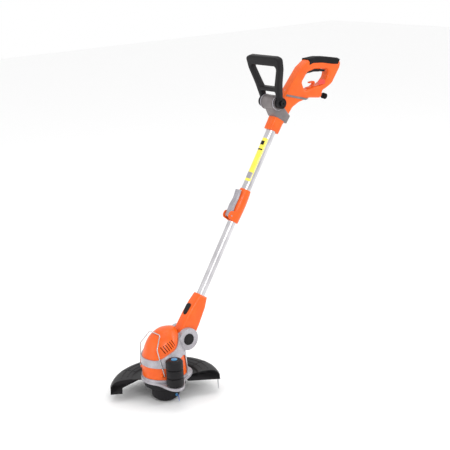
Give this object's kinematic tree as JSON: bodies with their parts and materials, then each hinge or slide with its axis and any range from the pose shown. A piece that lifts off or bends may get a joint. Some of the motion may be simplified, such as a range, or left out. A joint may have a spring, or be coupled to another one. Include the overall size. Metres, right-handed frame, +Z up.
{
  "type": "string trimmer",
  "caption": "Corded string trimmer with a telescopic shaft, loop handle with trigger, tilting swivel head, edge roller, quadrant guard and bump-feed line spool.",
  "frame": {"origin": "centre of the bump knob's flat underside, which rests on the ground", "axes": "+Z up along the spool's axis, -Y forward to the head's front, +X to the user's left where the edge roller is"},
  "size_m": [0.2834, 0.8499, 0.9671],
  "materials": {
    "orange_plastic": "satin moulded ABS",
    "black_plastic": "moulded nylon",
    "black_rubber": "soft matt elastomer",
    "silver_plastic": "metallic moulded plastic",
    "grey_plastic": "moulded plastic",
    "aluminium": "drawn tube",
    "steel": "bright",
    "copper": "enamelled winding",
    "blue_plastic": "moulded plastic",
    "blue_nylon": "extruded line"
  },
  "bodies": {
    "grip": {"handle_left": "orange_plastic", "handle_right": "orange_plastic", "soft_grip": "black_rubber", "trim_band": "grey_plastic", "cord_hook": "orange_plastic", "cord_sleeve": "black_rubber", "switch_box": "black_plastic", "trigger_pin": "steel", "trigger_spring": "steel", "handle_screw_1": "steel", "handle_screw_2": "steel", "handle_screw_3": "steel", "upper_tube": "aluminium", "hub_bracket": "grey_plastic", "hub_bolt": "black_plastic", "clamp_body": "orange_plastic", "clamp_pin": "steel", "clamp_shoe": "black_plastic"},
    "trigger": {"trigger": "black_plastic"},
    "aux_handle": {"aux_handle": "black_plastic"},
    "clamp_lever": {"clamp_lever": "silver_plastic"},
    "shaft": {"lower_tube": "aluminium", "guide_bush": "black_plastic", "lead_coil": "black_rubber", "motor_lead": "black_rubber", "tube_collar": "steel"},
    "connector": {"connector_left": "orange_plastic", "connector_right": "orange_plastic", "swivel_spring": "steel", "tilt_axle": "steel", "tilt_spring": "steel"},
    "swivel_button": {"swivel_button": "black_plastic"},
    "tilt_button": {"tilt_button": "black_plastic"},
    "head": {"motor_housing": "orange_plastic", "dome_cover": "orange_plastic", "yoke": "silver_plastic", "pivot_cap": "black_plastic", "base_plate": "silver_plastic", "spool_skirt": "black_plastic", "guard": "black_plastic", "line_cutter": "steel", "roller_axle": "steel", "stator": "steel", "lower_bearing": "steel", "upper_bearing": "steel", "bearing_bracket": "black_plastic"},
    "plant_guard": {"plant_guard": "steel"},
    "roller": {"roller": "black_plastic", "roller_cap": "blue_plastic"},
    "rotor": {"motor_shaft": "steel", "armature": "copper", "commutator": "copper", "cooling_fan": "black_plastic", "spool_cup": "black_plastic", "eyelet": "blue_plastic", "line_end": "blue_nylon", "spool_spring": "steel"},
    "bump_knob": {"bump_knob": "black_plastic", "line_spool": "black_plastic", "line_winding": "blue_nylon"}
  },
  "joints": [
    {"name": "trigger_pull", "type": "hinge", "parent": "grip", "child": "trigger", "pos_m": [0, 0.5529, 0.88822], "axis": [1, 0, 0], "range_deg": [0, 4], "stiffness_Nm_per_rad": 2, "springref_deg": -6.88},
    {"name": "second_handle_tilt", "type": "hinge", "parent": "grip", "child": "aux_handle", "pos_m": [0, 0.44439, 0.82395], "axis": [1, 0, 0], "range_deg": [-20, 60]},
    {"name": "clamp_lever_swing", "type": "hinge", "parent": "grip", "child": "clamp_lever", "pos_m": [0, 0.26082, 0.50914], "axis": [1, 0, 0], "range_deg": [0, 100]},
    {"name": "shaft_telescope", "type": "slide", "parent": "grip", "child": "shaft", "axis": [0, -0.5446, -0.8387], "range_m": [-0.2, 0.05]},
    {"name": "head_swivel", "type": "hinge", "parent": "shaft", "child": "connector", "pos_m": [0, 0.07, 0.174], "axis": [0, 0.5446, 0.8387], "range_deg": [0, 90]},
    {"name": "swivel_button_press", "type": "slide", "parent": "connector", "child": "swivel_button", "axis": [0, 0.8387, -0.5446], "range_m": [0, 0.0025], "stiffness_N_per_m": 600, "springref_m": -0.002},
    {"name": "head_tilt", "type": "hinge", "parent": "connector", "child": "head", "pos_m": [0, 0.07, 0.174], "axis": [1, 0, 0], "range_deg": [-15, 45]},
    {"name": "tilt_button_press", "type": "slide", "parent": "head", "child": "tilt_button", "axis": [-1, 0, 0], "range_m": [0, 0.004], "stiffness_N_per_m": 600, "springref_m": -0.003},
    {"name": "plant_guard_swing", "type": "hinge", "parent": "head", "child": "plant_guard", "pos_m": [0, -0.042, 0.096], "axis": [1, 0, 0], "range_deg": [0, 100]},
    {"name": "roller_spin", "type": "hinge", "parent": "head", "child": "roller", "pos_m": [0.092, -0.026, 0.076], "axis": [0, 0, 1], "continuous": true},
    {"name": "rotor_spin", "type": "hinge", "parent": "head", "child": "rotor", "pos_m": [0, 0, 0.1], "axis": [0, 0, 1], "continuous": true},
    {"name": "bump_knob_press", "type": "slide", "parent": "rotor", "child": "bump_knob", "axis": [0, 0, 1], "range_m": [0, 0.005], "stiffness_N_per_m": 900, "springref_m": -0.004, "deforming": ["spool_spring"]}
  ]
}
